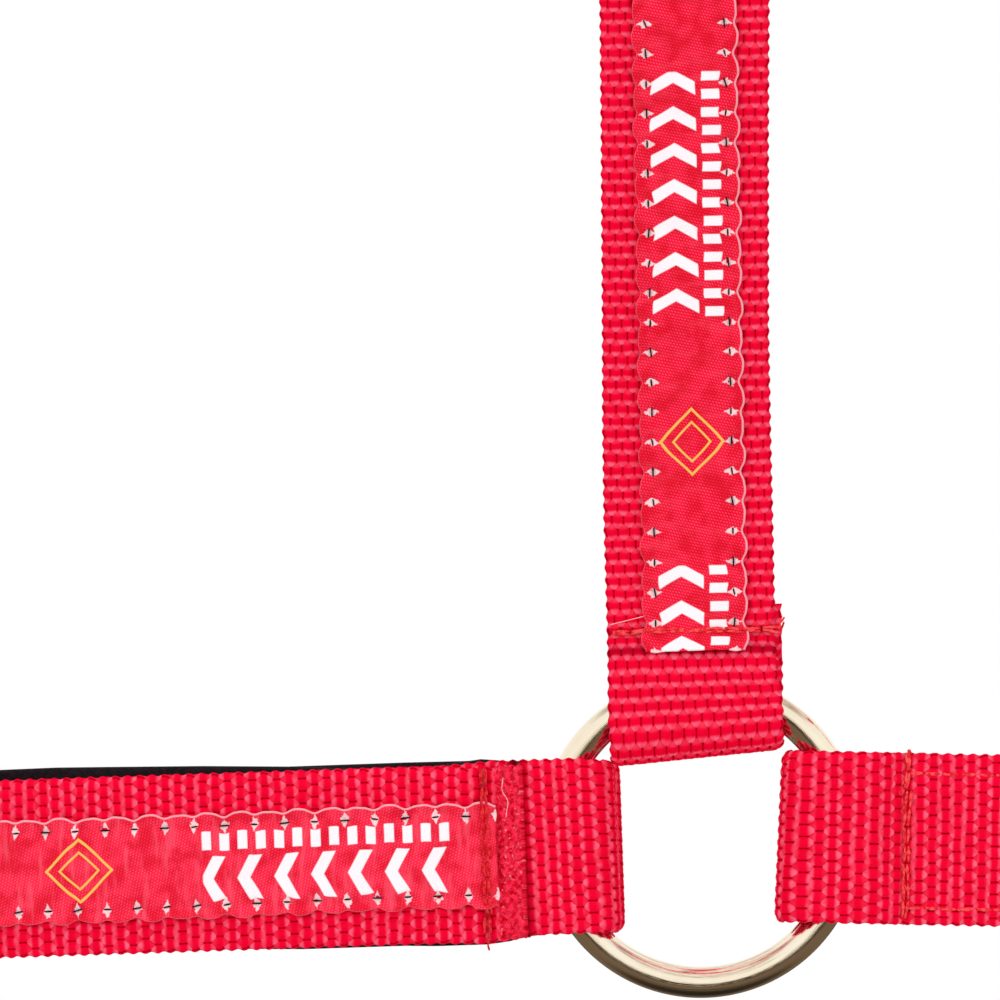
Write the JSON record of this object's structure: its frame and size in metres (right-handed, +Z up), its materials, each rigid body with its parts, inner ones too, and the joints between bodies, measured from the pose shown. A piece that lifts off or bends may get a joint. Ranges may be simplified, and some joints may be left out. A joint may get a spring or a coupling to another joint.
{
  "type": "webbing horse halter",
  "caption": "Flat webbing horse halter in worn shape, with padded noseband and crown, round rings, crown buckle and throat snap.",
  "frame": {"origin": "middle of the crown padding's underside, where the halter rests on the poll", "axes": "+Z up, -X towards the horse's nose, -Y the near (left) side"},
  "size_m": [0.3346, 0.1948, 0.4797],
  "materials": {
    "webbing": "heavy woven nylon, matte with a slight sheen",
    "ribbon": "fine woven satin ribbon",
    "padding": "soft black lining over foam",
    "hardware": "polished pale gold plate",
    "spring": "drawn wire"
  },
  "bodies": {
    "straps": {"crown_strap": "webbing", "crown_padding": "padding", "crown_ribbon": "ribbon", "crown_eyelet_1": "hardware", "crown_eyelet_2": "hardware", "crown_eyelet_3": "hardware", "crown_eyelet_4": "hardware", "buckle_strap": "webbing", "buckle_frame": "hardware", "cheek_strap_near": "webbing", "cheek_strap_off": "webbing", "cheek_ribbon_near": "ribbon", "cheek_ribbon_off": "ribbon", "cheek_square_near": "hardware", "cheek_square_off": "hardware", "chin_strap_near": "webbing", "chin_strap_off": "webbing", "connector_strap": "webbing", "throat_strap": "webbing", "snap_eye": "hardware"},
    "side_ring_near": {"side_ring_near": "hardware"},
    "side_ring_off": {"side_ring_off": "hardware"},
    "noseband": {"noseband_base_webbing": "webbing", "noseband_top_webbing": "webbing", "noseband_ribbon": "ribbon", "noseband_padding": "padding"},
    "chin_ring": {"chin_ring": "hardware"},
    "snap_hook": {"snap_hook": "hardware", "snap_spring": "spring"},
    "snap_bolt": {"snap_bolt": "hardware"},
    "buckle_tongue": {"buckle_tongue": "hardware"},
    "buckle_roller": {"buckle_roller": "hardware"},
    "keeper_upper": {"keeper_upper": "webbing"},
    "keeper_lower": {"keeper_lower": "webbing"}
  },
  "joints": [
    {"name": "side_ring_near_spin", "type": "hinge", "parent": "straps", "child": "side_ring_near", "pos_m": [-0.04272, -0.064, -0.44371], "axis": [0, 1, 0], "continuous": true},
    {"name": "side_ring_off_spin", "type": "hinge", "parent": "straps", "child": "side_ring_off", "pos_m": [-0.04272, 0.064, -0.44371], "axis": [0, 1, 0], "continuous": true},
    {"name": "chin_ring_spin", "type": "hinge", "parent": "straps", "child": "chin_ring", "pos_m": [0.05147, 0, -0.44543], "axis": [0.9998, 0, -0.0209], "continuous": true},
    {"name": "noseband_droop", "type": "hinge", "parent": "straps", "child": "noseband", "pos_m": [-0.04272, 0, -0.44371], "axis": [0, -1, 0], "range_deg": [0, 25]},
    {"name": "snap_swivel", "type": "hinge", "parent": "straps", "child": "snap_hook", "pos_m": [0.02551, -0.0935, -0.23228], "axis": [-0.9781, 0, 0.2079], "range_deg": [-15, 15]},
    {"name": "snap_bolt_slide", "type": "slide", "parent": "snap_hook", "child": "snap_bolt", "axis": [0.9781, 0, -0.2079], "range_m": [0, 0.008], "stiffness_N_per_m": 400, "springref_m": -0.005, "deforming": ["snap_spring"]},
    {"name": "buckle_tongue_lift", "type": "hinge", "parent": "straps", "child": "buckle_tongue", "pos_m": [-0.02605, -0.08126, -0.12255], "axis": [0.9781, 0, -0.2079], "range_deg": [0, 8]},
    {"name": "buckle_roller_spin", "type": "hinge", "parent": "straps", "child": "buckle_roller", "pos_m": [-0.02066, -0.07907, -0.09721], "axis": [0.9781, 0, -0.2079], "continuous": true},
    {"name": "keeper_upper_slide", "type": "slide", "parent": "straps", "child": "keeper_upper", "axis": [0.2072, 0.0843, 0.9747], "range_m": [-0.004, 0.012]},
    {"name": "keeper_lower_slide", "type": "slide", "parent": "straps", "child": "keeper_lower", "axis": [0.2072, 0.0843, 0.9747], "range_m": [-0.004, 0.006]}
  ]
}
